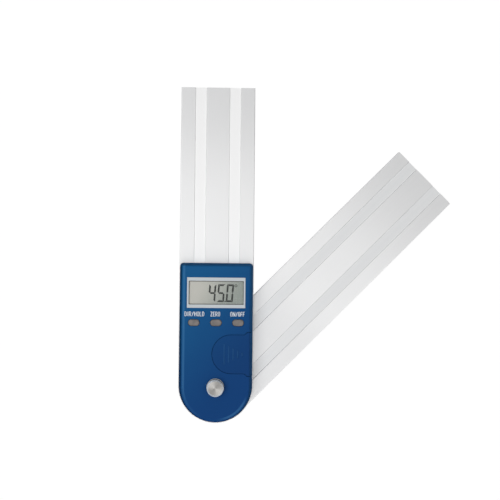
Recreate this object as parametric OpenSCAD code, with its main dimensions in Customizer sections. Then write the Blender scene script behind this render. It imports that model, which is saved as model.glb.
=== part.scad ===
// Angle finder with two flat arms, a digital display and a lock knob.
// X points to the right and Y along the fixed arm. Z runs up the pivot, from the plane that the part lies on.

/* [Arms] */
// Width of each arm
arm_w = 50; // [46:0.5:60]
// Length of each arm, from the pivot to its square end
arm_len = 201; // [150:1:320]
// Thickness of each arm
arm_t = 5; // [4.5:0.1:7]
// Space between the arms, filled by the sliding washer
arm_gap = 0.4; // [0.3:0.1:1]
// Angle between the arms at rest
rest_angle = 45; // [30:5:330]
// Distance from an arm's centre line to the near side of each channel
channel_in = 7.7; // [6.5:0.1:8.5]
// Width of each channel
channel_w = 7.8; // [5:0.1:8.5]
// Depth of each channel
channel_t = 0.6; // [0.3:0.1:1]
// Rounding of an arm's long edges
arm_edge = 0.5; // [0.2:0.1:1]

/* [Housing] */
// Distance that the arm stands out on each side of the housing
shell_inset = 0.4; // [0.3:0.05:1.5]
// Distance from the display frame to the housing's square end
end_gap = 9.8; // [8.5:0.1:30]
// Thickness of the housing's side walls, where they meet the arm
shell_wall = 2.6; // [2.4:0.1:3]
// Thickness of the housing's face
face_t = 1.6; // [1.5:0.1:2.5]
// Distance that the housing's sides lean in, from the arm up to the face
shell_lean = 1.8; // [0.5:0.1:2]
// Rounding of the housing's upper edge
shell_edge = 1.5; // [1:0.1:2]
// Radius of the two square corners, where they meet the arm
shell_corner = 2.8; // [1:0.1:4]
// Thickness of the base plate
plate_t = 1.2; // [1:0.1:2]

/* [Display] */
// Width of the display frame
frame_w = 38.5; // [34:0.1:40]
// Height of the display frame
frame_h = 20.1; // [17:0.1:26]
// Width of the frame's side bars
frame_side = 1.1; // [0.8:0.05:2.5]
// Width of the frame's upper and lower bars
frame_bar = 2.25; // [1.5:0.05:3]
// Distance from the row of keys up to the display frame
display_rise = 9.7; // [8.8:0.1:14]
// Thickness of the window
window_t = 1.4; // [1:0.1:1.5]
// Distance that the frame stands out of the face
frame_proud = 0.2; // [0.1:0.05:0.4]
// Distance that the display panel reaches under the frame all round
panel_margin = 1.3; // [0.6:0.1:1.8]
// Thickness of the display panel
panel_t = 1.8; // [1.2:0.1:2.2]

/* [Keys] */
// Length of a key
key_l = 7.3; // [6:0.1:8.4]
// Width of a key
key_w = 4.1; // [3.6:0.1:5.2]
// Distance between neighbouring keys
key_pitch = 14.6; // [12:0.1:15]
// Distance from the battery cover up to the row of keys
key_rise = 6.35; // [5.8:0.05:10]
// Gap round a key
key_gap = 0.3; // [0.15:0.05:0.35]
// Distance that a key stands out of the face
key_proud = 0.5; // [0.5:0.05:0.8]
// Travel of a key
key_travel = 0.4; // [0.3:0.05:0.45]
// Side of a push switch
switch_w = 4.5; // [4:0.1:5]
// Height of a push switch's body
switch_t = 1.8; // [1.5:0.1:2]

/* [Battery] */
// Diameter of the coin cell
cell_d = 20; // [17:0.1:22]
// Thickness of the coin cell
cell_t = 3.2; // [2.8:0.1:4.4]
// Distance from the pivot to the coin cell's centre, along the fixed arm
cell_y = 21.75; // [20.5:0.05:30]
// Wall of the ring that holds the cell
holder_wall = 1.1; // [0.8:0.1:1.4]
// Distance that the battery cover reaches past the cell all round
cover_margin = 2.65; // [2.3:0.05:3]
// Distance that the cover widens by, where it meets the side of the housing
cover_flare = 1.65; // [1.3:0.05:2]
// Width of the lip that runs under the face
lip_w = 0.9; // [0.5:0.05:1]
// Thickness of that lip
lip_t = 0.75; // [0.6:0.05:1]
// Depth of the cover's side wall below the face
cover_drop = 5.8; // [4.5:0.1:6]
// Height of the grip ridges
ridge_h = 0.3; // [0.2:0.05:0.5]

/* [Pivot] */
// Diameter of the pivot bolt's thread
thread_d = 6; // [5:0.1:6.6]
// Step from the thread out to the part that carries the rotor
seat_step = 1; // [0.8:0.1:1.3]
// Step from there out to the shoulder that turns in the bush
shoulder_step = 2; // [1.5:0.1:2.5]
// Step from the shoulder out to the rim of the flat head
head_rim = 2.5; // [1.5:0.1:4]
// Thickness of that head
head_t = 2; // [1.5:0.1:2.5]
// Wall of the bush
bush_wall = 2; // [1.5:0.1:3]
// Diameter of the sliding washer between the arms
slider_d = 33; // [24:0.5:33]
// Diameter of the sensor's rotor
rotor_d = 31; // [26:0.5:32]
// Thickness of the sensor's rotor
rotor_t = 1; // [0.8:0.1:1.6]
// Gap between the rotor and the main board
sense_gap = 0.3; // [0.2:0.05:0.5]
// Thickness of the main board
board_t = 1.2; // [1:0.1:1.6]
// Diameter of the lock knob
knob_d = 11; // [10:0.1:13]
// Height of the lock knob
knob_h = 6.1; // [4:0.1:8]
// Distance that the washer under the knob shows all round
washer_rim = 0.25; // [0.1:0.05:0.5]
// Thickness of that washer
knob_washer_t = 0.5; // [0.4:0.05:0.8]

/* [Screws] */
// Diameter of a housing screw
screw_d = 2.4; // [2:0.1:2.7]
// Diameter of a housing screw's head
screw_head_d = 4.6; // [4:0.1:5.2]
// Thickness of a housing screw's head
screw_head_t = 1.7; // [1.2:0.1:2]
// Diameter of a board screw
board_screw_d = 1.8; // [1.6:0.1:2]
// Diameter of a board screw's head
board_head_d = 3.4; // [3:0.1:3.8]
// Thickness of a board screw's head
board_head_t = 1.1; // [0.8:0.1:1.4]

/* [Hidden] */

$fn = 64;
eps = 0.01;
far = 60;               // reach of a cutting block past anything that it cuts
seat = 0.02;            // radial gap of a seated screw, bush or ring
running = 0.03;         // radial gap of the turning pivot
slip = 0.15;            // gap of a sliding piece in its opening
air = 0.3;              // gap between neighbouring pieces inside the housing
screw_air = 0.2;        // radial gap of a screw in the plate or arm that it passes through
bolt_air = 0.4;         // radial gap of the pivot bolt in the housing

// Levels up the pivot, each from the piece below
fixed_z = arm_t + arm_gap;
arm_top = fixed_z + arm_t;
plate_top = arm_top + plate_t;
rotor_gap = 0.4;
rotor_z = plate_top + rotor_gap;
rotor_top = rotor_z + rotor_t;
board_z = rotor_top + sense_gap;
board_top = board_z + board_t;
contact_t = 0.3;
cell_z = board_top + contact_t;
cell_top = cell_z + cell_t;
lip_z = cell_top + air;
lip_top = lip_z + lip_t;
ceiling = lip_top + slip;
face_z = ceiling + face_t;
panel_z = ceiling - panel_t;
frame_top = face_z + frame_proud;
frame_z = frame_top - window_t;
washer_proud = 0.1;
knob_z = face_z + washer_proud;
washer_z = knob_z - knob_washer_t;
knob_top = knob_z + knob_h;

// Housing across, and the places of what it holds
shell_r = arm_w / 2 - shell_inset;
inner_r = shell_r - shell_wall;
holder_r = cell_d / 2 + air;
cell_x = inner_r - holder_r - holder_wall - air;
cover_r = cell_d / 2 + cover_margin;
cover_end = cover_r + cover_flare;
key_y = cell_y + cover_end + key_rise;
window_w = frame_w - 2 * frame_side;
window_h = frame_h - 2 * frame_bar;
panel_w = window_w + 2 * panel_margin;
panel_h = window_h + 2 * panel_margin;
display_y = key_y + display_rise + frame_h / 2;
shell_len = key_y + display_rise + frame_h + end_gap;
inner_len = shell_len - shell_wall;

// Screws
boss_r = 2;
boss_gap = 0.85;
boss_bore_len = 6;
boss_x = inner_r - boss_r - boss_gap;
boss_end_y = inner_len - boss_r - boss_gap;
boss_mid_y = cell_y + cover_end + boss_r;
BOSSES = [[-boss_x, boss_end_y], [boss_x, boss_end_y], [-boss_x, boss_mid_y], [boss_x, boss_mid_y],
    [-boss_x * cos(45), -boss_x * sin(45)], [boss_x * cos(45), -boss_x * sin(45)]];
head_sink = 0.2;        // depth of a housing screw's head below the fixed arm's back
board_gap = 0.5;
board_r = inner_r - board_gap;
board_len = boss_end_y - boss_r - 1;
post_r = 1.7;
post_x = board_r - post_r - 1.25;
post_low_y = 4.5;
post_high_y = key_y + 0.65 * display_rise;
POSTS = [[-post_x, post_low_y], [post_x, post_low_y], [-post_x, post_high_y], [post_x, post_high_y]];

// Keys
KEYS = [-key_pitch, 0, key_pitch];
flange_top = ceiling - 0.1;
flange_w = key_gap + 0.25;
flange_t = 0.8;
key_top = face_z + key_proud;
plunger_d = 1.8;
plunger_z = board_top + switch_t - 0.6;
plunger_top = board_top + switch_t + 0.7;
well_floor = plunger_z - key_travel - slip;

// Battery cover
flare_x = shell_r - 5.5;
flare_end = shell_r - 3.8;
cover_gap = 0.3;        // gap round the cover, seen from above
cover_side_z = face_z - cover_drop;
ridge_count = 5;
ridge_w = 0.9;
ridge_pitch = 2.95;
ridge_x = -4.7;         // first ridge, from the cover's centre
ridge_half = 6.8;       // half of its length
ridge_step = 1.4;       // each next ridge is shorter by this at both ends

// Pivot
seat_d = thread_d + 2 * seat_step;
shoulder_d = seat_d + 2 * shoulder_step;
head_d = shoulder_d + 2 * head_rim;
bush_d = shoulder_d + 2 * bush_wall;
knob_washer_d = knob_d + 2 * washer_rim;
neck_flat = shoulder_d * 0.4;
seat_flat = thread_d / 2 + 0.2;
bolt_end = knob_top - 1.4;
ring_t = 0.6;
ring_r = seat_d / 2 + 1.3;
board_hole_r = ring_r + 1.2;
collar_wall = 2.1;      // wall of the tube round the bolt, under the housing's face

// ---------- Shared shapes ----------

// Half of the housing's section, from the axis out to r at the arm: the side leans in and its upper
// corner is rounded
module housing_section(r) {
    lean = atan(shell_lean / (face_z - arm_top));
    arc_z = face_z - shell_edge;
    arc_x = r - (arc_z - arm_top) * tan(lean) - shell_edge / cos(lean);
    polygon([[0, arm_top], [r, arm_top], [arc_x + shell_edge * cos(lean), arc_z + shell_edge * sin(lean)],
        [arc_x, face_z], [0, face_z]]);
    translate([arc_x, arc_z])
        circle(shell_edge);
}

// Outline with a round end of radius r at the pivot and a square end
module round_ended(r, end_y) {
    circle(r);
    translate([-r, 0])
        square([2 * r, end_y]);
}

// Rectangle from y = 0 to end_y, with its two far corners rounded
module round_cornered(r, end_y, corner) {
    translate([-r, 0])
        square([2 * r, end_y - corner]);
    translate([-r + corner, 0])
        square([2 * (r - corner), end_y]);
    for (side = [-1, 1])
        translate([side * (r - corner), end_y - corner])
            circle(corner);
}

// The housing's outer form: round at the pivot and square at the far end, with the same section all round
module housing_block() {
    rotate([0, 0, 180])
        rotate_extrude(angle = 180)
            housing_section(shell_r);
    intersection() {
        rotate([90, 0, 180])
            linear_extrude(shell_len)
                union() {
                    housing_section(shell_r);
                    mirror([1, 0])
                        housing_section(shell_r);
                }
        rotate([90, 0, 90])
            translate([0, 0, -shell_r])
                linear_extrude(2 * shell_r)
                    housing_section(shell_len);
        translate([0, 0, arm_top])
            linear_extrude(face_z - arm_top)
                round_cornered(shell_r, shell_len, shell_corner);
    }
}

module disc(d, bottom, top) {
    translate([0, 0, bottom])
        cylinder(d = d, h = top - bottom);
}

// A round pin with a flat on two sides
module two_flats(d, flat, bottom, top) {
    intersection() {
        disc(d, bottom, top);
        translate([-flat, -d, bottom])
            cube([2 * flat, 2 * d, top - bottom]);
    }
}

module centred_block(w, l, bottom, top) {
    translate([-w / 2, -l / 2, bottom])
        cube([w, l, top - bottom]);
}

module bevelled_half(r, bottom, top, bevel) {
    polygon([[0, bottom], [r, bottom], [r, top - bevel], [r - bevel, top], [0, top]]);
}

// Slot-shaped block, long in X, with a bevelled upper edge
module obround_block(l, w, bottom, top, bevel) {
    for (side = [-1, 1])
        translate([side * (l - w) / 2, 0, 0])
            rotate([0, 0, 90 * side])
                rotate_extrude(angle = -180)
                    bevelled_half(w / 2, bottom, top, bevel);
    rotate([90, 0, 90])
        translate([0, 0, -(l - w) / 2])
            linear_extrude(l - w) {
                bevelled_half(w / 2, bottom, top, bevel);
                mirror([1, 0])
                    bevelled_half(w / 2, bottom, top, bevel);
            }
}

// Cross-shaped recess in a screw's head, from level z up to z + depth
module cross_recess(d, z, depth) {
    for (turn = [0, 90])
        rotate([0, 0, turn])
            centred_block(d * 0.55, d * 0.14, z, z + depth);
}

// ---------- Arms ----------

// Section of an arm: rounded corners, and two channels in the upper face
module arm_section() {
    half = arm_w / 2;
    slope = channel_t * 0.6;
    difference() {
        union() {
            translate([-half, arm_edge])
                square([arm_w, arm_t - 2 * arm_edge]);
            translate([-half + arm_edge, 0])
                square([arm_w - 2 * arm_edge, arm_t]);
            for (side = [-1, 1])
                for (level = [arm_edge, arm_t - arm_edge])
                    translate([side * (half - arm_edge), level])
                        circle(arm_edge);
        }
        for (side = [0, 1])
            mirror([side, 0])
                translate([channel_in, arm_t])
                    polygon([[0, eps], [0, 0], [slope, -channel_t], [channel_w - slope, -channel_t],
                        [channel_w, 0], [channel_w, eps]]);
    }
}

// Bar along Y from its round end at the pivot to its square end
module arm_bar() {
    intersection() {
        translate([0, arm_len, 0])
            rotate([90, 0, 0])
                linear_extrude(arm_len + arm_w)
                    arm_section();
        linear_extrude(arm_t)
            round_ended(arm_w / 2, arm_len);
    }
}

module fixed_arm() {
    color("#dedfe1")
        difference() {
            translate([0, 0, fixed_z])
                arm_bar();
            disc(bush_d + 2 * seat, fixed_z - eps, arm_top + eps);
            for (place = BOSSES)
                translate(place) {
                    disc(screw_d + 2 * screw_air, fixed_z - eps, arm_top + eps);
                    disc(screw_head_d + 2 * screw_air, fixed_z - eps, fixed_z + head_sink + screw_head_t);
                }
        }
}

module swing_arm() {
    color("#d3d5d8")
        rotate([0, 0, -rest_angle])
            difference() {
                arm_bar();
                two_flats(shoulder_d + 2 * seat, neck_flat + seat, -eps, arm_t + eps);
                disc(head_d + 2 * seat, -eps, head_t);
            }
}

// ---------- Pivot ----------

module pivot_bolt() {
    color("#9a9ca0")
        rotate([0, 0, -rest_angle]) {
            disc(head_d, 0, head_t);
            two_flats(shoulder_d, neck_flat, head_t - eps, arm_t);
            disc(shoulder_d - 2 * running, arm_t, rotor_z);
            two_flats(seat_d, seat_flat, rotor_z - eps, rotor_top + ring_t);
            disc(thread_d - 4 * running, rotor_top, bolt_end);
        }
}

module pivot_bush() {
    color("#b98a45")
        difference() {
            disc(bush_d, fixed_z, arm_top);
            disc(shoulder_d, fixed_z - eps, arm_top + eps);
        }
}

module sliding_washer() {
    color("#e8e6dc")
        difference() {
            disc(slider_d, arm_t, fixed_z);
            disc(shoulder_d + 2 * screw_air, arm_t - eps, fixed_z + eps);
        }
}

module knob_washer() {
    color("#b9bbbe")
        difference() {
            disc(knob_washer_d, washer_z, knob_z);
            disc(thread_d + 2 * screw_air, washer_z - eps, knob_z + eps);
        }
}

// Cap nut with a bevelled rim, a face turned very slightly hollow and grooves round its side
module lock_knob() {
    r = knob_d / 2;
    foot = 0.4;
    rim = 0.8;
    dish = 0.15;
    grooves = 36;
    groove_d = 0.6;
    land = 0.1;
    color("#8f9094")
        difference() {
            rotate_extrude()
                polygon([[0, knob_z], [r - foot, knob_z], [r, knob_z + foot], [r, knob_top - rim],
                    [r - rim, knob_top], [0, knob_top - dish]]);
            disc(thread_d, knob_z - eps, bolt_end + air);
            for (i = [0 : grooves - 1])
                rotate([0, 0, i * 360 / grooves])
                    translate([r + groove_d / 5, 0, 0])
                        disc(groove_d, knob_z + foot + land, knob_top - rim - land);
        }
}

// ---------- Housing ----------

module base_plate() {
    color("#2b2d30") {
        difference() {
            translate([0, 0, arm_top])
                linear_extrude(plate_t)
                    round_ended(inner_r - slip, inner_len - slip);
            disc(shoulder_d + 2 * bolt_air, arm_top - eps, plate_top + eps);
            for (place = BOSSES)
                translate(place)
                    disc(screw_d + 2 * screw_air, arm_top - eps, plate_top + eps);
            for (place = POSTS)
                translate(place)
                    disc(board_screw_d + 2 * seat, arm_top - eps, plate_top + eps);
        }
        for (place = POSTS)
            translate(place)
                difference() {
                    disc(2 * post_r, plate_top - eps, board_z);
                    disc(board_screw_d + 2 * seat, plate_top - 2 * eps, board_z + eps);
                }
    }
}

// Seen from above, the battery cover: round on the left, and wider where it meets the housing's side
module cover_plan(grow) {
    half = cover_r + grow;
    wide = cover_end + grow;
    start = flare_x - grow / 2 - cell_x;
    stop = flare_end - grow / 2 - cell_x;
    translate([cell_x, cell_y]) {
        circle(half);
        polygon([[0, -half], [start, -half], [stop, -wide], [far, -wide], [far, wide], [stop, wide],
            [start, half], [0, half]]);
    }
}

// The lip of the cover, which slides under the housing's face
module lip_plan() {
    half = cover_r + lip_w;
    translate([cell_x, cell_y]) {
        circle(half);
        translate([0, -half])
            square([far, 2 * half]);
    }
}

module front_shell() {
    color("#1c5288")
        difference() {
            union() {
                difference() {
                    housing_block();
                    translate([0, 0, arm_top - eps])
                        linear_extrude(ceiling - arm_top + eps)
                            round_ended(inner_r, inner_len);
                }
                for (place = BOSSES)
                    translate(place)
                        disc(2 * boss_r, plate_top, ceiling + eps);
                disc(thread_d + 2 * (bolt_air + collar_wall), board_top + 2 * bolt_air, ceiling + eps);
            }
            for (place = BOSSES)
                translate(place)
                    disc(screw_d + 2 * seat, plate_top - eps, plate_top + boss_bore_len);
            disc(thread_d + 2 * bolt_air, board_top, face_z + eps);
            disc(knob_washer_d + 2 * screw_air, washer_z, face_z + eps);
            translate([0, display_y, 0]) {
                centred_block(window_w, window_h, ceiling - eps, face_z + eps);
                centred_block(frame_w + slip, frame_h + slip, frame_z, face_z + eps);
            }
            for (x = KEYS)
                translate([x, key_y, 0])
                    obround_block(key_l + 2 * key_gap, key_w + 2 * key_gap, ceiling - eps, face_z + eps, eps);
            translate([0, 0, ceiling - eps])
                linear_extrude(far)
                    cover_plan(cover_gap);
            translate([flare_end - cover_gap / 2, cell_y - cover_end - cover_gap, cover_side_z - slip])
                cube([far, 2 * (cover_end + cover_gap), far]);
        }
}

// Ridges across the way that the cover slides, each shorter than the last
module grip_ridges() {
    for (i = [0 : ridge_count - 1])
        translate([cell_x + ridge_x + i * ridge_pitch, cell_y, 0])
            rotate([0, 0, 90])
                obround_block(2 * (ridge_half - i * ridge_step), ridge_w, face_z - eps, face_z + ridge_h,
                    ridge_h / 2);
}

module battery_cover() {
    color("#1a4a7c") {
        intersection() {
            housing_block();
            union() {
                translate([0, 0, lip_top - eps])
                    linear_extrude(far)
                        cover_plan(0);
                translate([0, 0, lip_z])
                    linear_extrude(lip_t)
                        lip_plan();
                translate([inner_r + slip, cell_y - cover_end, cover_side_z])
                    cube([far, 2 * cover_end, far]);
            }
        }
        grip_ridges();
    }
}

// ---------- Display ----------

module display_frame() {
    color("#f4f5f6")
        translate([0, display_y, 0])
            difference() {
                centred_block(frame_w, frame_h, frame_z, frame_top);
                centred_block(window_w, window_h, frame_z - eps, frame_top + eps);
            }
}

module display_window() {
    color("#cfd6d8", 0.4)
        translate([0, display_y, 0])
            centred_block(window_w - 2 * seat, window_h - 2 * seat, ceiling, ceiling + window_t);
}

module display_panel() {
    color("#a3aaa2")
        translate([0, display_y, 0])
            centred_block(panel_w, panel_h, panel_z, ceiling);
}

// Strip between the panel's edge and the main board, on the lower or the upper side
module panel_strip(side) {
    strip_w = 1.8;
    strip_in = 1.5;
    translate([0, display_y + side * (panel_h / 2 - strip_in), 0])
        centred_block(panel_w - 2 * strip_in, strip_w, board_top, panel_z);
}

module contact_strip() {
    color("#4d4d50")
        panel_strip(-1);
}

module panel_pad() {
    color("#37383a")
        panel_strip(1);
}

// ---------- Electronics ----------

module main_board() {
    color("#1f6b45")
        difference() {
            translate([0, 0, board_z])
                linear_extrude(board_t)
                    round_ended(board_r, board_len);
            disc(2 * board_hole_r, board_z - eps, board_top + eps);
            for (place = BOSSES)
                translate(place)
                    disc(2 * (boss_r + boss_gap), board_z - eps, board_top + eps);
            for (place = POSTS)
                translate(place)
                    disc(board_screw_d + 2 * seat, board_z - eps, board_top + eps);
        }
}

module controller_chip() {
    chip_w = 7;
    chip_t = 1;
    chip_x = -6;
    color("#1d1d1f")
        translate([chip_x, display_y, 0])
            centred_block(chip_w, chip_w, board_top, board_top + chip_t);
}

module sensor_rotor() {
    color("#2f7a52")
        rotate([0, 0, -rest_angle])
            difference() {
                disc(rotor_d, rotor_z, rotor_top);
                two_flats(seat_d + 2 * seat, seat_flat + seat, rotor_z - eps, rotor_top + eps);
            }
}

module rotor_ring() {
    color("#6f7175")
        rotate([0, 0, -rest_angle])
            difference() {
                disc(2 * ring_r, rotor_top, rotor_top + ring_t);
                two_flats(seat_d + 2 * seat, seat_flat + seat, rotor_top - eps, rotor_top + ring_t + eps);
            }
}

module switch_bodies() {
    color("#3a3b3e")
        for (x = KEYS)
            translate([x, key_y, 0])
                difference() {
                    centred_block(switch_w, switch_w, board_top, board_top + switch_t);
                    disc(plunger_d + 2 * slip, well_floor, board_top + switch_t + eps);
                }
}

module plunger(x) {
    color("#c9c4b6")
        translate([x, key_y, 0])
            disc(plunger_d, plunger_z, plunger_top);
}

// A key: its cap, the flange that keeps it in, and the stem that rests on the plunger
module key(x) {
    bevel = 0.3;
    stem_d = plunger_d + 0.8;
    color("#8d8a84")
        translate([x, key_y, 0]) {
            obround_block(key_l, key_w, flange_top - eps, key_top, bevel);
            obround_block(key_l + 2 * flange_w, key_w + 2 * flange_w, flange_top - flange_t, flange_top,
                bevel / 3);
            disc(stem_d, plunger_top, flange_top - flange_t + eps);
        }
}

module hold_key() {
    key(KEYS[0]);
}

module zero_key() {
    key(KEYS[1]);
}

module power_key() {
    key(KEYS[2]);
}

module hold_plunger() {
    plunger(KEYS[0]);
}

module zero_plunger() {
    plunger(KEYS[1]);
}

module power_plunger() {
    plunger(KEYS[2]);
}

// ---------- Battery ----------

// A wide can with a bevelled upper rim, and its smaller negative cap underneath
module coin_cell() {
    cap = 0.4;
    rim = 1.3;
    bevel = 0.25;
    color("#c4c6c9")
        translate([cell_x, cell_y, 0]) {
            rotate_extrude()
                bevelled_half(cell_d / 2, cell_z + cap, cell_top, bevel);
            disc(cell_d - 2 * rim, cell_z, cell_z + cap + eps);
        }
}

// Ring round the cell, open on the left for the upright contact
module cell_holder() {
    mouth = 6;
    color("#26282b")
        translate([cell_x, cell_y, 0])
            difference() {
                disc(2 * (holder_r + holder_wall), board_top, cell_top + slip);
                disc(2 * holder_r, board_top - eps, cell_top + far);
                translate([-far, -mouth / 2, board_top - eps])
                    cube([far, mouth, far]);
            }
}

// Upright leaf against the rim of the cell, on a foot that lies on the board
module positive_contact() {
    leaf_w = 4;
    foot = 2;
    color("#c9b27a")
        translate([cell_x - cell_d / 2 - contact_t, cell_y - leaf_w / 2, board_top]) {
            cube([contact_t, leaf_w, cell_t]);
            translate([-foot, 0, 0])
                cube([foot + eps, leaf_w, contact_t]);
        }
}

module negative_contact() {
    leaf_w = 4;
    color("#c9b27a")
        translate([cell_x, cell_y, 0])
            centred_block(0.65 * cell_d, leaf_w, board_top, cell_z);
}

// ---------- Fasteners ----------

module housing_screws() {
    head_z = fixed_z + head_sink;
    color("#7d7f83")
        for (place = BOSSES)
            translate(place)
                difference() {
                    union() {
                        disc(screw_head_d, head_z, head_z + screw_head_t);
                        disc(screw_d, head_z, plate_top + boss_bore_len - air);
                    }
                    cross_recess(screw_head_d, head_z - eps, screw_head_t / 2);
                }
}

module board_screws() {
    head_top = board_top + board_head_t;
    color("#7d7f83")
        for (place = POSTS)
            translate(place)
                difference() {
                    union() {
                        disc(board_head_d, board_top, head_top);
                        disc(board_screw_d, arm_top + air, head_top);
                    }
                    cross_recess(board_head_d, head_top - board_head_t / 2, board_head_t);
                }
}

fixed_arm();
swing_arm();
pivot_bolt();
pivot_bush();
sliding_washer();
base_plate();
front_shell();
display_frame();
display_window();
display_panel();
contact_strip();
panel_pad();
main_board();
controller_chip();
sensor_rotor();
rotor_ring();
hold_key();
zero_key();
power_key();
switch_bodies();
hold_plunger();
zero_plunger();
power_plunger();
coin_cell();
cell_holder();
positive_contact();
negative_contact();
battery_cover();
knob_washer();
lock_knob();
housing_screws();
board_screws();
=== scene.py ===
# Looks of an angle finder with two flat arms, a digital display and a lock knob.
# The model gives every solid its shape and place. This script gives each one its finish, and adds what is
# too fine for the model: the frame, lens and figures of the display, the print, and the coin cell's marks.
import math

import bmesh
import bpy
from mathutils import Matrix, Vector


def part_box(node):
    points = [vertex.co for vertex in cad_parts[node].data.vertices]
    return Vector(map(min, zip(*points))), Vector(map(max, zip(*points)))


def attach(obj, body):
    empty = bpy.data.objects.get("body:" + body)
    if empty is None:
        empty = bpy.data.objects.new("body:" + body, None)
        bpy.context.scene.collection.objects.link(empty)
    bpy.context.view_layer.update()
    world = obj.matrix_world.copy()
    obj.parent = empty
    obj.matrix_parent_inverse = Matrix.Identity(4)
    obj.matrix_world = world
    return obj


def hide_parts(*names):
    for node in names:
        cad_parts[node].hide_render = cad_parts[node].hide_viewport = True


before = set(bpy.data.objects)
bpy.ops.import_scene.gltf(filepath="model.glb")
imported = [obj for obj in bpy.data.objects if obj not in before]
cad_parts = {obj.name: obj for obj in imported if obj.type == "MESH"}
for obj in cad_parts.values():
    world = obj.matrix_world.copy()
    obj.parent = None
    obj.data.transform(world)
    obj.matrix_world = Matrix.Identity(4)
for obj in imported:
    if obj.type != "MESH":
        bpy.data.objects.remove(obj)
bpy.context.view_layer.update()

MM = 0.001

# ---------- Places in the model ----------

ARM_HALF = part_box("fixed_arm")[1].x
ARM_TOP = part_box("fixed_arm")[1].z
SWING_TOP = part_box("swing_arm")[1].z
REST_ANGLE = math.radians(45)
CHANNEL_IN = 7.7 * MM       # inner and outer wall of an arm's channels, from its middle line
CHANNEL_OUT = 15.5 * MM
CHANNEL_T = 0.6 * MM        # their depth
HOUSING_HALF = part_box("front_shell")[1].x
HOUSING_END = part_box("front_shell")[1].y
FACE_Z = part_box("front_shell")[1].z
FRAME_LOW, FRAME_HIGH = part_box("display_frame")
WINDOW_LOW, WINDOW_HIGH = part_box("display_window")
DISPLAY_Y = (WINDOW_LOW.y + WINDOW_HIGH.y) / 2
PANEL_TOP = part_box("display_panel")[1].z
KNOB_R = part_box("lock_knob")[1].x
KNOB_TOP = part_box("lock_knob")[1].z
CELL_LOW, CELL_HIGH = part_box("coin_cell")
CELL_R = (CELL_HIGH.x - CELL_LOW.x) / 2
CELL_CENTRE = Vector(((CELL_LOW.x + CELL_HIGH.x) / 2, (CELL_LOW.y + CELL_HIGH.y) / 2, CELL_HIGH.z))


# ---------- Node helpers ----------

def hex_colour(code):
    """Linear colour of a six-figure web colour"""
    parts = [int(code[i:i + 2], 16) / 255 for i in (0, 2, 4)]
    return tuple(p / 12.92 if p <= 0.04045 else ((p + 0.055) / 1.055) ** 2.4 for p in parts) + (1.0,)


class Field:
    """A node's output, with operators that add Math nodes"""

    def __init__(self, nodes, socket):
        self.nodes = nodes
        self.socket = socket

    def __add__(self, other):
        return self.nodes.math("ADD", self, other)

    def __sub__(self, other):
        return self.nodes.math("SUBTRACT", self, other)

    def __rsub__(self, other):
        return self.nodes.math("SUBTRACT", other, self)

    def __mul__(self, other):
        return self.nodes.math("MULTIPLY", self, other)

    def __gt__(self, other):
        return self.nodes.math("GREATER_THAN", self, other)

    def __lt__(self, other):
        return self.nodes.math("LESS_THAN", self, other)

    def __abs__(self):
        return self.nodes.math("ABSOLUTE", self)

    __radd__ = __add__
    __rmul__ = __mul__


class Nodes:
    """A node tree, and the few kinds of node that these finishes share"""

    def __init__(self, tree):
        self.tree = tree
        tree.nodes.clear()

    def add(self, kind, settings=None, sockets=None, output=0):
        """Adds a node: settings first, then the value or link of each socket; returns one output"""
        node = self.tree.nodes.new(kind)
        for name, value in (settings or {}).items():
            setattr(node, name, value)
        for key, value in (sockets or {}).items():
            if isinstance(value, Field):
                self.tree.links.new(value.socket, node.inputs[key])
            else:
                node.inputs[key].default_value = value
        return Field(self, node.outputs[output]) if len(node.outputs) else None

    def math(self, operation, *terms):
        return self.add("ShaderNodeMath", {"operation": operation}, dict(enumerate(terms)))

    def place(self, turn=0.0, centre=(0, 0, 0)):
        """Object coordinates, moved so that centre is the origin and then turned about Z"""
        where = self.add("ShaderNodeTexCoord", output="Object")
        offset = self.add("ShaderNodeVectorMath", {"operation": "SUBTRACT"}, {0: where, 1: centre})
        return self.add("ShaderNodeMapping", None, {"Vector": offset, "Rotation": (0, 0, turn)})

    def scaled(self, vector, factors):
        return self.add("ShaderNodeVectorMath", {"operation": "MULTIPLY"}, {0: vector, 1: factors})

    def parts(self, vector):
        return [self.add("ShaderNodeSeparateXYZ", None, {"Vector": vector}, axis) for axis in "XYZ"]

    def reach(self, x, y):
        """Distance from the Z axis"""
        return self.math("SQRT", x * x + y * y)

    def noise(self, vector, size, detail=2.0, roughness=0.5):
        """Noise from 0 to 1 with features about as large as size, in metres"""
        return self.add("ShaderNodeTexNoise", None,
                        {"Vector": vector, "Scale": 1 / size, "Detail": detail, "Roughness": roughness})

    def mix(self, factor, a, b):
        """Colour between a and b"""
        return self.add("ShaderNodeMix", {"data_type": "RGBA"}, {0: factor, 6: a, 7: b}, 2)

    def between(self, factor, low, high):
        """Number between low and high"""
        return factor * (high - low) + low

    def step(self, value, start, stop):
        """0 at start, 1 at stop, smooth between; start may be the larger"""
        return self.add("ShaderNodeMapRange", {"interpolation_type": "SMOOTHSTEP"},
                        {"Value": value, "From Min": start, "From Max": stop})

    def bump(self, height, depth):
        return self.add("ShaderNodeBump", None, {"Height": height, "Distance": depth, "Strength": 1.0})

    def ray(self, kind):
        """1 for rays of one kind, such as Camera, and 0 for the others"""
        return self.add("ShaderNodeLightPath", output=f"Is {kind} Ray")


class Finish(Nodes):
    """A new material; shade ends it in one Principled shader"""

    def __init__(self, name):
        self.material = bpy.data.materials.new(name)
        self.material.use_nodes = True
        super().__init__(self.material.node_tree)

    def shade(self, **sockets):
        named = {key.replace("_", " "): value for key, value in sockets.items()}
        surface = self.add("ShaderNodeBsdfPrincipled", None, named)
        self.add("ShaderNodeOutputMaterial", None, {"Surface": surface})
        return self.material


# ---------- Finishes ----------

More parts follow.
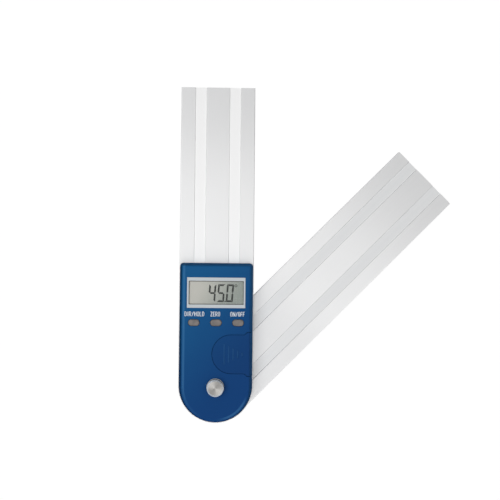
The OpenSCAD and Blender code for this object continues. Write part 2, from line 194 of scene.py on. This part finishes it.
def arm_aluminium(name, turn, top, floor_colour):
    """Satin aluminium, brushed along the arm, with a painted sheen that makes it a little paler about its
    middle.
    The floors of its two channels get a painted light tone of their own, which differs from arm to arm, and
    look less like bare metal; painted shade darkens its long edges."""
    streak_w = 0.16 * MM
    streak_squeeze = 0.012
    cloud = 38 * MM
    edge = 0.3 * MM
    f = Finish(name)
    where = f.place(turn)
    x, y, z = f.parts(where)
    across = abs(x)
    streaks = f.noise(f.scaled(where, (1, streak_squeeze, 1)), streak_w, 4.0, 0.6)
    # Painted sheen: the arm is paler about its middle
    middle = f.step(y, 50 * MM, 95 * MM) * f.step(y, 195 * MM, 120 * MM)
    floor_level = (z < top - CHANNEL_T / 2) * (z > top - 2 * CHANNEL_T)
    floor = floor_level * (across > CHANNEL_IN) * (across < CHANNEL_OUT)
    # Painted shade: darker along the arm's long edges
    corner = f.step(across, ARM_HALF - edge, ARM_HALF)
    brushed = f.mix(streaks, hex_colour("d8d8d9"), hex_colour("e7e7e7"))
    paler = f.mix(middle * 0.55, brushed, hex_colour("f8f8f8"))
    clouded = f.mix(f.noise(where, cloud) * 0.4, paler, hex_colour("e3e4e5"))
    # Painted light: the channel floors take floor_colour, lighter on the fixed arm than on the swing arm
    floored = f.mix(floor, clouded, hex_colour(floor_colour))
    base = f.mix(corner * 0.6, floored, hex_colour("b4b5b7"))
    rough = f.between(streaks, 0.4, 0.52) - floor * 0.04
    return f.shade(Base_Color=base, Metallic=0.6 - floor * 0.4, Roughness=rough, Specular_IOR_Level=0.3,
                   Normal=f.bump(streaks, 0.004 * MM))


def moulded_plastic(name, colour, shade, grain=0.28, roughness=0.4):
    """Moulded plastic: a fine spark-eroded grain, and slow changes of colour"""
    cloud = 22 * MM
    f = Finish(name)
    where = f.place()
    pits = f.noise(where, grain * MM, 3.0, 0.55)
    clouded = f.mix(f.noise(where, cloud), hex_colour(colour), hex_colour(shade))
    base = f.mix(pits * 0.25, clouded, hex_colour(shade))
    rough = f.between(pits, roughness - 0.05, roughness + 0.08)
    return f.shade(Base_Color=base, Roughness=rough, Specular_IOR_Level=0.15,
                   Normal=f.bump(pits, 0.012 * MM))


def painted_shade_ramp(f, where, x, y):
    """Painted shade: grows from 0 at the housing's far left to 1 at its near right, a little unevenly"""
    cloud = 14 * MM
    slope = 0.9
    unevenness = 0.12 * HOUSING_END
    half_way = 0.62 * HOUSING_END
    uneven = (f.noise(where, cloud) - 0.5) * unevenness
    return f.step(x - y * slope + uneven, -half_way, half_way)


def painted_edge_highlight(f, x, y):
    """Painted highlight in a band just inside the housing's edge, from 0 to 1: most down its left side,
    less as that rounds the near end, and most again at the right of that end. Here y is 0 at the pivot."""
    below = f.math("MINIMUM", y, 0.0)
    reach = f.reach(x, below)
    band_in = f.step(reach, HOUSING_HALF - 4.3 * MM, HOUSING_HALF - 3.8 * MM)
    band_out = f.step(reach, HOUSING_HALF - 2.3 * MM, HOUSING_HALF - 3.0 * MM)
    fade = f.math("MAXIMUM", below, -0.5 * HOUSING_HALF) * (1.5 / HOUSING_HALF)
    left = f.step(x, -0.3 * HOUSING_HALF, -0.6 * HOUSING_HALF) * (1 + fade)
    lower = f.step(below, -0.2 * HOUSING_HALF, -0.5 * HOUSING_HALF)
    lower_right = lower * f.step(x, 0.0, 0.4 * HOUSING_HALF)
    return band_in * band_out * f.math("MAXIMUM", left, lower_right)


def housing_plastic(name, far_colour, near_colour):
    """The housing's satin plastic, with painted light and shade: painted shade deepens its colour slowly
    from the far left to the near right and down its left side, and painted highlights make it paler along
    its edge, on its right side and on the grip ridges"""
    middle_y = HOUSING_END / 2
    f = Finish(name)
    where = f.place(centre=(0, middle_y, 0))
    x, y, z = f.parts(where)
    pits = f.noise(where, 0.28 * MM, 3.0, 0.55)
    # Painted shade: the colour deepens from the far left to the near right
    shade_ramped_colour = f.mix(painted_shade_ramp(f, where, x, y), hex_colour(far_colour), hex_colour(near_colour))
    pitted = f.mix(pits * 0.25, shade_ramped_colour, hex_colour(near_colour))
    # Painted shade: the side walls are darker, most on the left and less at the far end
    far_end = f.step(y, middle_y - 3 * MM, middle_y - 1.5 * MM)
    side = f.step(z, FACE_Z - 0.2 * MM, FACE_Z - 0.9 * MM) * (1 - far_end * 0.6)
    right = f.step(x, 0.1 * HOUSING_HALF, 0.8 * HOUSING_HALF)
    deep = f.mix(side * (1 - right) * 0.35, pitted, hex_colour("061c38"))
    # Painted highlights: paler on the grip ridges, in a band inside the edge and on the right side wall
    ridge = f.step(z, FACE_Z + 0.02 * MM, FACE_Z + 0.2 * MM)
    painted_highlights = ridge * 0.12 + painted_edge_highlight(f, x, y + middle_y) * 0.3 + side * right * 0.3
    base = f.mix(painted_highlights, deep, hex_colour("4a84b4"))
    return f.shade(Base_Color=base, Roughness=f.between(pits, 0.65, 0.78), Specular_IOR_Level=0.0,
                   Coat_Weight=(1 - side) * 0.09, Coat_Roughness=0.35, Normal=f.bump(pits, 0.012 * MM))


def rubber(name, colour, shade):
    """Silicone rubber or foam: matt and faintly mottled"""
    f = Finish(name)
    where = f.place()
    specks = f.noise(where, 0.35 * MM, 3.0)
    clouds = f.noise(where, 3.5 * MM, 1.0)
    base = f.mix(f.step(clouds, 0.35, 0.7), hex_colour(colour), hex_colour(shade))
    rough = f.between(specks, 0.5, 0.66)
    return f.shade(Base_Color=base, Roughness=rough, Normal=f.bump(specks, 0.01 * MM))


def turned_surface(f):
    """Distance from the axis, height, and a noise in fine rings round the axis"""
    x, y, z = f.parts(f.place())
    reach = f.reach(x, y)
    line = f.add("ShaderNodeCombineXYZ", None, {"X": reach, "Z": z})
    return reach, z, f.noise(line, 0.14 * MM, 3.0, 0.7)


def turned_metal(name, colour, shade):
    """Metal turned on a lathe: its rings spread a reflection into bright fans"""
    f = Finish(name)
    _, _, rings = turned_surface(f)
    base = f.mix(rings, hex_colour(colour), hex_colour(shade))
    return f.shade(Base_Color=base, Metallic=1.0, Roughness=f.between(rings, 0.3, 0.4), Anisotropic=0.8,
                   Anisotropic_Rotation=0.25, Normal=f.bump(rings, 0.004 * MM))


def knob_metal(name):
    """The knob's turned metal: a finely ringed face, a pale bluish bevel round it as a painted highlight,
    and sides darkened as painted shade
    """
    bevel_w = 0.82 * MM
    f = Finish(name)
    reach, z, rings = turned_surface(f)
    face = f.mix(rings, hex_colour("c6c4c1"), hex_colour("b2b0ad"))
    # Painted highlight: the bevel is pale bluish and less metallic
    bevel = (reach > KNOB_R - bevel_w) * (z > KNOB_TOP - 1.05 * bevel_w)
    # Painted shade: the knob's sides are darker
    side = (reach > KNOB_R - 0.2 * bevel_w) * (z < KNOB_TOP - 1.2 * bevel_w)
    bevelled = f.mix(bevel, face, hex_colour("c2c9d2"))
    base = f.mix(side * 0.6, bevelled, hex_colour("4b4a47"))
    return f.shade(Base_Color=base, Metallic=1 - bevel * 0.55, Roughness=f.between(rings, 0.46, 0.56),
                   Anisotropic=0.9, Anisotropic_Rotation=0.25, Normal=f.bump(rings, 0.004 * MM))


def plated_metal(name, colour, shade, roughness=0.32, metal=1.0):
    """Rolled or pressed metal with a faint mottle"""
    f = Finish(name)
    mottle = f.noise(f.place(), 1.2 * MM, 4.0, 0.6)
    base = f.mix(mottle, hex_colour(colour), hex_colour(shade))
    rough = f.between(mottle, roughness - 0.06, roughness + 0.1)
    return f.shade(Base_Color=base, Metallic=metal, Roughness=rough, Normal=f.bump(mottle, 0.006 * MM))


def cell_steel(name):
    """Turned steel of the coin cell, with fine rings round its own axis"""
    f = Finish(name)
    where = f.place(centre=CELL_CENTRE)
    x, y, _ = f.parts(where)
    line = f.add("ShaderNodeCombineXYZ", None, {"X": f.reach(x, y)})
    rings = f.noise(line, 0.12 * MM, 3.0, 0.7)
    clouds = f.noise(where, 5 * MM)
    base = f.mix(rings * 0.6 + clouds * 0.3, hex_colour("a3a5a8"), hex_colour("8b8e92"))
    return f.shade(Base_Color=base, Metallic=1.0, Roughness=f.between(clouds, 0.3, 0.42),
                   Normal=f.bump(rings, 0.003 * MM))


def display_ground(name):
    """The display's ground, with a painted reflection from warm grey on the left to greener on the right,
    and faint flecks
    """
    half = WINDOW_HIGH.x
    slant = 0.6
    f = Finish(name)
    where = f.place(centre=(0, DISPLAY_Y, 0))
    x, y, _ = f.parts(where)
    # Painted reflection across the display
    along = f.step(x - y * slant, -0.9 * half, 0.9 * half)
    ground = f.mix(along, hex_colour("bdbbb3"), hex_colour("868e87"))
    fleck = f.noise(where, 0.2 * MM)
    base = f.mix(fleck * 0.12, ground, hex_colour("a9aca4"))
    return f.shade(Base_Color=base, Roughness=f.between(fleck, 0.3, 0.4))


def clear_plastic(name):
    """Clear window: nearly unseen but for its gloss, with a faint haze that varies"""
    f = Finish(name)
    haze = f.noise(f.place(), 6 * MM)
    return f.shade(Base_Color=hex_colour("dfe5e4"), Alpha=f.between(haze, 0.03, 0.05),
                   Roughness=f.between(haze, 0.04, 0.08), IOR=1.49)


def printed_ink(name, colour, shade):
    """Screen-printed ink: slightly uneven in tone"""
    f = Finish(name)
    specks = f.noise(f.place(), 0.3 * MM, 3.0)
    base = f.mix(specks, hex_colour(colour), hex_colour(shade))
    return f.shade(Base_Color=base, Roughness=f.between(specks, 0.55, 0.68), Specular_IOR_Level=0.1)


def circuit_board(name):
    """Solder mask over copper: broad fills with thin gaps between them, and a woven ground"""
    fill = 3.4 * MM
    f = Finish(name)
    where = f.place()
    weave = f.noise(f.scaled(where, (1, 1, 0.2)), 0.4 * MM)
    cells = f.add("ShaderNodeTexVoronoi", {"feature": "DISTANCE_TO_EDGE", "distance": "MANHATTAN"},
                  {"Vector": where, "Scale": 1 / fill, "Randomness": 0.7})
    copper = f.step(cells, 0.05, 0.09)
    mask = f.mix(copper, hex_colour("0d3a26"), hex_colour("1f6b45"))
    base = f.mix(weave * 0.25, mask, hex_colour("2b7d55"))
    return f.shade(Base_Color=base, Roughness=f.between(weave, 0.28, 0.4), Normal=f.bump(copper, 0.02 * MM))


def sensor_laminate(name):
    """Rotor of the sensor: copper sectors on green laminate, evenly spaced round the axis"""
    sectors = 48
    track_in = 9 * MM
    track_out = 14.5 * MM
    f = Finish(name)
    x, y, _ = f.parts(f.place())
    wave = f.math("SINE", f.math("ARCTAN2", y, x) * sectors)
    reach = f.reach(x, y)
    copper = f.step(wave, -0.1, 0.1) * (reach > track_in) * (reach < track_out)
    base = f.mix(copper, hex_colour("2a6e4b"), hex_colour("b87b4a"))
    return f.shade(Base_Color=base, Metallic=copper, Roughness=f.between(copper, 0.42, 0.3))


def striped_rubber(name):
    """Contact strip of alternate conducting and plain layers"""
    pitch = 0.1 * MM
    f = Finish(name)
    x, _, _ = f.parts(f.place())
    wave = f.math("SINE", x * (2 * math.pi / pitch))
    base = f.mix(f.step(wave, -0.3, 0.3), hex_colour("1c1c1e"), hex_colour("8b8b8a"))
    return f.shade(Base_Color=base, Roughness=0.6)


CELL_STEEL = cell_steel("cell_steel")
SCREW_STEEL = plated_metal("screw_steel", "85878b", "9a9ca0")
CREAM_PLASTIC = moulded_plastic("cream_plastic", "c9c4b6", "bfb9a9")
KEY_RUBBER = rubber("key_rubber", "7d7774", "6c6866")
CONTACT_BRASS = plated_metal("contact_brass", "c9b27a", "b79a5c")

FINISHES = {
    # The last colour of each arm is the painted light tone of its channel floors
    "fixed_arm": arm_aluminium("fixed_arm_aluminium", 0.0, ARM_TOP, "f6f6f6"),
    "swing_arm": arm_aluminium("swing_arm_aluminium", REST_ANGLE, SWING_TOP, "dfe0e1"),
    "pivot_bolt": turned_metal("bolt_steel", "9a9ca0", "aeb0b3"),
    "pivot_bush": turned_metal("bush_brass", "b98a45", "c79a58"),
    "sliding_washer": moulded_plastic("washer_plastic", "e8e6dc", "dedbcd", roughness=0.45),
    "base_plate": moulded_plastic("plate_plastic", "2b2d30", "232528", roughness=0.5),
    "front_shell": housing_plastic("shell_plastic", "1b598a", "143f75"),
    "battery_cover": housing_plastic("cover_plastic", "1a5083", "143c70"),
    "display_panel": display_ground("display_ground"),
    "contact_strip": striped_rubber("strip_rubber"),
    "panel_pad": rubber("pad_foam", "37383a", "2b2c2e"),
    "main_board": circuit_board("board_laminate"),
    "controller_chip": moulded_plastic("chip_resin", "1d1d1f", "262629", grain=0.1, roughness=0.55),
    "sensor_rotor": sensor_laminate("rotor_laminate"),
    "rotor_ring": turned_metal("ring_steel", "6f7175", "808287"),
    "hold_key": KEY_RUBBER,
    "zero_key": KEY_RUBBER,
    "power_key": KEY_RUBBER,
    "switch_bodies": moulded_plastic("switch_plastic", "3a3b3e", "303134", grain=0.15),
    "hold_plunger": CREAM_PLASTIC,
    "zero_plunger": CREAM_PLASTIC,
    "power_plunger": CREAM_PLASTIC,
    "coin_cell": CELL_STEEL,
    "cell_holder": moulded_plastic("black_plastic", "26282b", "1d1f22", roughness=0.5),
    "positive_contact": CONTACT_BRASS,
    "negative_contact": CONTACT_BRASS,
    "knob_washer": plated_metal("washer_zinc", "d9dfe4", "c4cad0", roughness=0.6, metal=0.4),
    "lock_knob": knob_metal("knob_steel"),
    "housing_screws": SCREW_STEEL,
    "board_screws": SCREW_STEEL,
}
for node, material in FINISHES.items():
    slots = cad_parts[node].data.materials
    slots.clear()
    slots.append(material)


# ---------- New pieces ----------

def placed(piece, material, body, replaced=None):
    """Gives a piece its finish, the body that it rides on and the node that it replaces, if any"""
    bpy.context.scene.collection.objects.link(piece)
    piece.data.materials.append(material)
    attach(piece, body)
    if replaced:
        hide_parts(replaced)


def finished(name, shape, material, body, replaced=None):
    """Makes a piece of a bmesh and places it"""
    bmesh.ops.recalc_face_normals(shape, faces=shape.faces)
    mesh = bpy.data.meshes.new(name)
    shape.to_mesh(mesh)
    shape.free()
    placed(bpy.data.objects.new(name, mesh), material, body, replaced)


def block(shape, low, high):
    """Adds a block between two corners"""
    made = bmesh.ops.create_cube(shape, size=1.0)["verts"]
    bmesh.ops.scale(shape, vec=high - low, verts=made)
    bmesh.ops.translate(shape, vec=(low + high) / 2, verts=made)


def soften(shape, edges, radius, segments=3):
    bmesh.ops.bevel(shape, geom=edges, offset=radius, segments=segments, profile=0.5,
                    affect="EDGES", material=-1)


def thicken(shape, height):
    """Pulls flat faces up into solids"""
    risen = bmesh.ops.extrude_face_region(shape, geom=shape.faces[:])["geom"]
    upper = [vert for vert in risen if isinstance(vert, bmesh.types.BMVert)]
    bmesh.ops.translate(shape, vec=(0, 0, height), verts=upper)


def cut_middle(shape, disc, width):
    """Leaves a ring of that width of a flat disc, given by its vertices"""
    middle = list(disc[0].link_faces)
    bmesh.ops.inset_region(shape, faces=middle, thickness=width, use_boundary=True, use_even_offset=True)
    bmesh.ops.delete(shape, geom=middle, context="FACES_ONLY")


def open_frame(outer_low, outer_high, hole_low, hole_high, rounding=0.0):
    """A rectangular frame from the two corners of its block and of its hole. Both ends of the block are
    inset, and the inset faces are scaled to the hole's outline and deleted. Walls then join their rims."""
    shape = bmesh.new()
    block(shape, outer_low, outer_high)
    ends = [face for face in shape.faces if abs(face.normal.z) > 0.5]
    margin = min(hole_low.x - outer_low.x, hole_low.y - outer_low.y) / 2
    bmesh.ops.inset_region(shape, faces=ends, thickness=margin, use_even_offset=True)
    inset_size = outer_high - outer_low - Vector((2 * margin, 2 * margin, 0))
    hole_size = hole_high - hole_low
    factors = Vector((hole_size.x / inset_size.x, hole_size.y / inset_size.y, 1))
    about = Matrix.Translation(-(hole_low + hole_high) / 2)
    inner = list({vert for face in ends for vert in face.verts})
    bmesh.ops.scale(shape, vec=factors, verts=inner, space=about)
    rims = [rim for face in ends for rim in face.edges]
    bmesh.ops.delete(shape, geom=ends, context="FACES_ONLY")
    bmesh.ops.bridge_loops(shape, edges=rims)
    if rounding:
        sharp = [edge for edge in shape.edges if edge.calc_face_angle(0) > math.radians(60)]
        soften(shape, sharp, rounding)
    return shape


def display_trim():
    """Pale frame round the display"""
    hole_low = Vector((WINDOW_LOW.x, WINDOW_LOW.y, FRAME_LOW.z))
    hole_high = Vector((WINDOW_HIGH.x, WINDOW_HIGH.y, FRAME_HIGH.z))
    shape = open_frame(FRAME_LOW, FRAME_HIGH, hole_low, hole_high, rounding=0.12 * MM)
    material = moulded_plastic("frame_plastic", "c9cfd3", "bfc5ca", roughness=0.3)
    finished("display_trim", shape, material, "housing", "display_frame")


def window_lens():
    """Clear lens, a hair above the display so that their faces don't share a plane"""
    lift = Vector((0, 0, 0.08 * MM))
    shape = bmesh.new()
    block(shape, WINDOW_LOW + lift, WINDOW_HIGH)
    near_top = WINDOW_HIGH.z - 0.1 * MM
    upper = [edge for edge in shape.edges if all(vert.co.z > near_top for vert in edge.verts)]
    soften(shape, upper, 0.12 * MM, segments=2)
    material = clear_plastic("window_clear")
    finished("window_lens", shape, material, "housing", "display_window")


def window_border():
    """Dark line round the display, under the lens"""
    line = 0.42 * MM
    low = Vector((WINDOW_LOW.x, WINDOW_LOW.y, PANEL_TOP + 0.01 * MM))
    high = Vector((WINDOW_HIGH.x, WINDOW_HIGH.y, PANEL_TOP + 0.05 * MM))
    inset = Vector((line, line, 0))
    shape = open_frame(low, high, low + inset, high - inset)
    # A dark line, given the ink finish for its colour
    material = printed_ink("border_dark_line", "57534d", "4c4944")
    finished("window_border", shape, material, "housing")


def flat_plus(shape, arm, line):
    """A plus sign from a grid of three by three: its middle strips as wide as line, its corners cut off"""
    grid = bmesh.ops.create_grid(shape, x_segments=3, y_segments=3, size=arm)["verts"]
    for vert in grid:
        for axis in (0, 1):
            if abs(vert.co[axis]) < arm / 2:
                vert.co[axis] = math.copysign(line / 2, vert.co[axis])
    corners = [face for face in {face for vert in grid for face in vert.link_faces}
               if all(abs(along) > line for along in face.calc_center_median()[:2])]
    bmesh.ops.delete(shape, geom=corners, context="FACES")


def cell_marks():
    """Raised ring near the coin cell's rim and a plus sign, as they are stamped on such a cell"""
    line = 0.05 * CELL_R
    shape = bmesh.new()
    disc = bmesh.ops.create_circle(shape, cap_ends=True, segments=96, radius=0.86 * CELL_R)["verts"]
    cut_middle(shape, disc, line)
    flat_plus(shape, 0.24 * CELL_R, line)
    thicken(shape, 0.06 * MM)
    bmesh.ops.translate(shape, vec=CELL_CENTRE, verts=shape.verts)
    finished("cell_marks", shape, CELL_STEEL, "housing")


# The figures: seven bars each, named a to g clockwise from the top with g in the middle
BARS = {"4": "bcfg", "5": "acdfg", "0": "abcdef"}
READING = "450"
FIGURE_W = 4.75 * MM
FIGURE_H = 11.7 * MM
FIGURE_PITCH = 5.85 * MM
FIRST_FIGURE_X = -2.68 * MM
FIGURES_Y = DISPLAY_Y - 0.25 * MM
STROKE = 1.2 * MM
BAR_GAP = 0.2 * MM
SLANT = 0.075
INK_T = 0.03 * MM
POINT_R = 0.4 * MM
POINT_X = FIRST_FIGURE_X + 1.52 * FIGURE_PITCH
DEGREE_R = 0.92 * MM
DEGREE_HOLE_R = 0.56 * MM
DEGREE_X = FIRST_FIGURE_X + 2.62 * FIGURE_PITCH
DEGREE_Y = FIGURE_H / 2 - 0.95 * MM


def bar(shape, start, stop, mitred):
    """One bar, from one corner of a figure to the next: a hexagon pulled out. Its right-hand side runs on
    to a mitre at each end that is mitred; the other ends are pointed."""
    run = stop - start
    tip = (run.length - BAR_GAP) / 2
    made = bmesh.ops.create_circle(shape, cap_ends=True, segments=6, radius=STROKE)["verts"]
    for vert in made:
        end = 1 if vert.co.y > 0 else -1
        side = round(vert.co.x / STROKE)
        mitre = side > 0 and mitred[end > 0]
        beyond_tip = abs(side) * (STROKE / 2 if mitre else -STROKE / 2)
        vert.co = (side * STROKE / 2, end * (tip + beyond_tip), 0)
    turn = Matrix.Rotation(math.atan2(run.y, run.x) - math.pi / 2, 3, "Z")
    bmesh.ops.rotate(shape, matrix=turn, verts=made)
    bmesh.ops.translate(shape, vec=(start + stop) / 2, verts=made)


def figure(shape, digit, x):
    """One seven-bar figure, centred on x. Its outer bars run anticlockwise, so out is on their right."""
    right = (FIGURE_W - STROKE) / 2
    top = (FIGURE_H - STROKE) / 2
    corners = {name: Vector((x + side * right, level * top, 0))
               for name, side, level in (("tl", -1, 1), ("tr", 1, 1), ("ml", -1, 0), ("mr", 1, 0),
                                         ("bl", -1, -1), ("br", 1, -1))}
    ends = {"a": ("tr", "tl"), "b": ("mr", "tr"), "c": ("br", "mr"), "d": ("bl", "br"),
            "e": ("ml", "bl"), "f": ("tl", "ml"), "g": ("ml", "mr")}
    for name in BARS[digit]:
        start, stop = ends[name]
        mitred = [corner[0] != "m" for corner in (start, stop)]
        bar(shape, corners[start], corners[stop], mitred)


def dot(shape, radius, x, y):
    """Adds a round dot and returns its vertices"""
    made = bmesh.ops.create_circle(shape, cap_ends=True, segments=20, radius=radius)["verts"]
    bmesh.ops.translate(shape, vec=(x, y, 0), verts=made)
    return made


def display_figures():
    """The reading at rest, 45.0 degrees"""
    shape = bmesh.new()
    for i, digit in enumerate(READING):
        figure(shape, digit, FIRST_FIGURE_X + i * FIGURE_PITCH)
    dot(shape, POINT_R, POINT_X, POINT_R - FIGURE_H / 2)
    degree = dot(shape, DEGREE_R, DEGREE_X, DEGREE_Y)
    cut_middle(shape, degree, DEGREE_R - DEGREE_HOLE_R)
    lean = Matrix(((1, SLANT, 0, 0), (0, 1, 0, FIGURES_Y), (0, 0, 1, PANEL_TOP), (0, 0, 0, 1)))
    bmesh.ops.transform(shape, matrix=lean, verts=shape.verts)
    thicken(shape, INK_T)
    material = printed_ink("figure_ink", "0c0e0b", "161915")
    finished("display_figures", shape, material, "housing")


# The words over the keys: text, x of its centre and width, in millimetres
LEGENDS = (("DIR/HOLD", -14.2, 13.0), ("ZERO", -0.5, 6.4), ("ON/OFF", 14.2, 9.5))
LEGEND_Y = 48.12 * MM
CAP_HEIGHT = 3.15 * MM
LETTER_LINE = 0.44 * MM
LETTER_OVERLAP = 0.3    # how far a line runs on at both ends, as a share of its own width
LETTER_GAP = 0.66       # space after a letter, as a share of a full letter's width
WIDTHS = {"I": 0.3, "/": 0.9, "L": 0.8, "F": 0.85, "E": 0.85, "N": 1.2}

# Each letter as pen strokes in a box one unit wide and one high
LETTERS = {
    "D": [[(0, 0), (0, 1), (0.6, 1), (1, 0.8), (1, 0.2), (0.6, 0), (0, 0)]],
    "E": [[(1, 1), (0, 1), (0, 0), (1, 0)], [(0, 0.5), (0.85, 0.5)]],
    "F": [[(1, 1), (0, 1), (0, 0)], [(0, 0.5), (0.85, 0.5)]],
    "H": [[(0, 0), (0, 1)], [(1, 0), (1, 1)], [(0, 0.5), (1, 0.5)]],
    "I": [[(0.5, 0), (0.5, 1)]],
    "L": [[(0, 1), (0, 0), (1, 0)]],
    "N": [[(0, 0), (0, 1), (1, 0), (1, 1)]],
    "O": [[(0.3, 0), (0, 0.15), (0, 0.85), (0.3, 1), (0.7, 1), (1, 0.85), (1, 0.15), (0.7, 0), (0.3, 0)]],
    "R": [[(0, 0), (0, 1), (0.7, 1), (1, 0.87), (1, 0.62), (0.7, 0.48), (0, 0.48)], [(0.5, 0.48), (1, 0)]],
    "Z": [[(0, 1), (1, 1), (0, 0), (1, 0)]],
    "/": [[(0, 0), (1, 1)]],
}


def pen_line(curve, start, stop):
    """One straight line of the pen, a little longer at both ends so that lines meet in full corners"""
    overlap = (stop - start).normalized() * LETTER_LINE * LETTER_OVERLAP
    spline = curve.splines.new("POLY")
    spline.points.add(1)
    spline.points[0].co = (*(start - overlap), 1)
    spline.points[1].co = (*(stop + overlap), 1)


def printed_word(words, width):
    """Flat mesh of a word, its letters drawn line by line with a pen, centred on the origin"""
    shares = [WIDTHS.get(letter, 1.0) for letter in words]
    total = sum(shares) + LETTER_GAP * (len(words) - 1)
    unit = (width - LETTER_LINE) / total
    height = CAP_HEIGHT - LETTER_LINE
    curve = bpy.data.curves.new("word", "CURVE")
    curve.dimensions = "3D"
    curve.bevel_depth = LETTER_LINE / 2
    curve.bevel_resolution = 1
    curve.use_fill_caps = True
    left = -total / 2
    for letter, share in zip(words, shares):
        for stroke in LETTERS[letter]:
            marks = [Vector(((left + across * share) * unit, (up - 0.5) * height, 0))
                     for across, up in stroke]
            for start, stop in zip(marks, marks[1:]):
                pen_line(curve, start, stop)
        left += share + LETTER_GAP
    word = bpy.data.objects.new("word", curve)
    bpy.context.scene.collection.objects.link(word)
    bpy.context.view_layer.update()
    mesh = bpy.data.meshes.new_from_object(word)
    bpy.data.objects.remove(word)
    mesh.transform(Matrix.Diagonal((1, 1, 2 * INK_T / LETTER_LINE, 1)))
    return mesh


def key_legends():
    """Plain white words printed over the keys, one piece each"""
    material = printed_ink("legend_ink", "f4f6f8", "e8edf1")
    for words, x, width in LEGENDS:
        mesh = printed_word(words, width * MM)
        mesh.transform(Matrix.Translation((x * MM, LEGEND_Y, FACE_Z)))
        name = "legend_" + words.replace("/", "_").lower()
        placed(bpy.data.objects.new(name, mesh), material, "housing")


display_trim()
window_lens()
window_border()
display_figures()
key_legends()
cell_marks()


# ---------- Studio ----------

WHITE = (1, 1, 1, 1)
FLOOR_HALF = 4.0
FLOOR_DROP = 0.1 * MM       # keeps the floor clear of the part's back
FLOOR_GLOW = 1.12           # strength of the floor's glow where it is seen, and the glow's share there
GLOW_SHARE = 0.88
HORIZON = 0.05              # light on the part from the horizon, and what straight above adds to it
SKY = 0.4
MIRRORED = 0.56             # the same in reflections: from the horizon, and the least from anywhere
LEAST_MIRRORED = 0.05
LAMP_SIZE = 0.8
LAMP_TARGET = Vector((0.04, 0.08, 0))
PHOTO_PIXELS = 500
FOCAL_PIXELS = 836.42
CAMERA_PLACE = (6.464 * MM, 70.765 * MM, 573.926 * MM)
CAMERA_TURN = (0.03561, -0.02849, 0.00909)


def studio_floor():
    """Pale floor that the camera sees nearly white, and that keeps a soft shadow"""
    shape = bmesh.new()
    bmesh.ops.create_grid(shape, x_segments=1, y_segments=1, size=FLOOR_HALF)
    bmesh.ops.translate(shape, vec=(0, 0, -FLOOR_DROP), verts=shape.verts)
    mesh = bpy.data.meshes.new("floor")
    shape.to_mesh(mesh)
    shape.free()
    floor = bpy.data.objects.new("floor", mesh)
    bpy.context.scene.collection.objects.link(floor)
    f = Finish("floor_paper")
    seen = f.math("MINIMUM", f.ray("Camera") + f.ray("Glossy") + f.ray("Transmission"), 1.0)
    matt = f.add("ShaderNodeBsdfDiffuse", None, {"Color": hex_colour("8c8c8c")})
    glow = f.add("ShaderNodeEmission", None, {"Color": WHITE, "Strength": FLOOR_GLOW})
    surface = f.add("ShaderNodeMixShader", None, {0: seen * GLOW_SHARE, 1: matt, 2: glow})
    f.add("ShaderNodeOutputMaterial", None, {"Surface": surface})
    mesh.materials.append(f.material)


def studio_world():
    """Even surroundings, white to the camera. In reflections the sky is brighter in two opposite quarters
    than in the other two, and dimmer towards the right and the far end."""
    overhead_gain = 0.63
    quarter_contrast = 4.4
    right_slope = 1.0
    far_slope = 1.5
    world = bpy.data.worlds.new("studio")
    world.use_nodes = True
    bpy.context.scene.world = world
    w = Nodes(world.node_tree)
    seen = w.ray("Camera") + w.ray("Transmission")
    glossy = w.ray("Glossy")
    x, y, z = w.parts(w.add("ShaderNodeTexCoord", output="Generated"))
    uneven = quarter_contrast * (x * y) + right_slope * x + far_slope * y
    reflected = w.math("MAXIMUM", MIRRORED + overhead_gain * (z * z) - z * uneven, LEAST_MIRRORED)
    ambient = w.math("MAXIMUM", z, 0.0) * SKY + HORIZON
    strength = seen + (1 - seen) * (glossy * reflected + (1 - glossy) * ambient)
    sky = w.add("ShaderNodeBackground", None, {"Color": WHITE, "Strength": strength})
    w.add("ShaderNodeOutputWorld", None, {"Surface": sky})


def softbox(name, place, power):
    """A square soft lamp that faces the middle of the object and isn't mirrored in it"""
    lamp = bpy.data.lights.new(name, "AREA")
    lamp.shape = "SQUARE"
    lamp.size = LAMP_SIZE
    lamp.energy = power
    box = bpy.data.objects.new(name, lamp)
    box.visible_glossy = False
    bpy.context.scene.collection.objects.link(box)
    box.location = place
    box.rotation_euler = (LAMP_TARGET - Vector(place)).to_track_quat("-Z", "Y").to_euler()


def camera():
    """The photograph's viewpoint, almost straight above"""
    lens = bpy.data.cameras.new("camera")
    lens.sensor_width = 36
    lens.lens = lens.sensor_width * FOCAL_PIXELS / PHOTO_PIXELS
    lens.clip_start = 0.01
    view = bpy.data.objects.new("camera", lens)
    bpy.context.scene.collection.objects.link(view)
    view.location = CAMERA_PLACE
    view.rotation_euler = CAMERA_TURN
    bpy.context.scene.camera = view


studio_floor()
studio_world()
softbox("key_lamp", place=(-0.4, 0.0, 1.2), power=8.4)
softbox("fill_lamp", place=(0.35, 0.05, 1.2), power=2.6)
camera()
bpy.context.scene.view_settings.view_transform = "Standard"
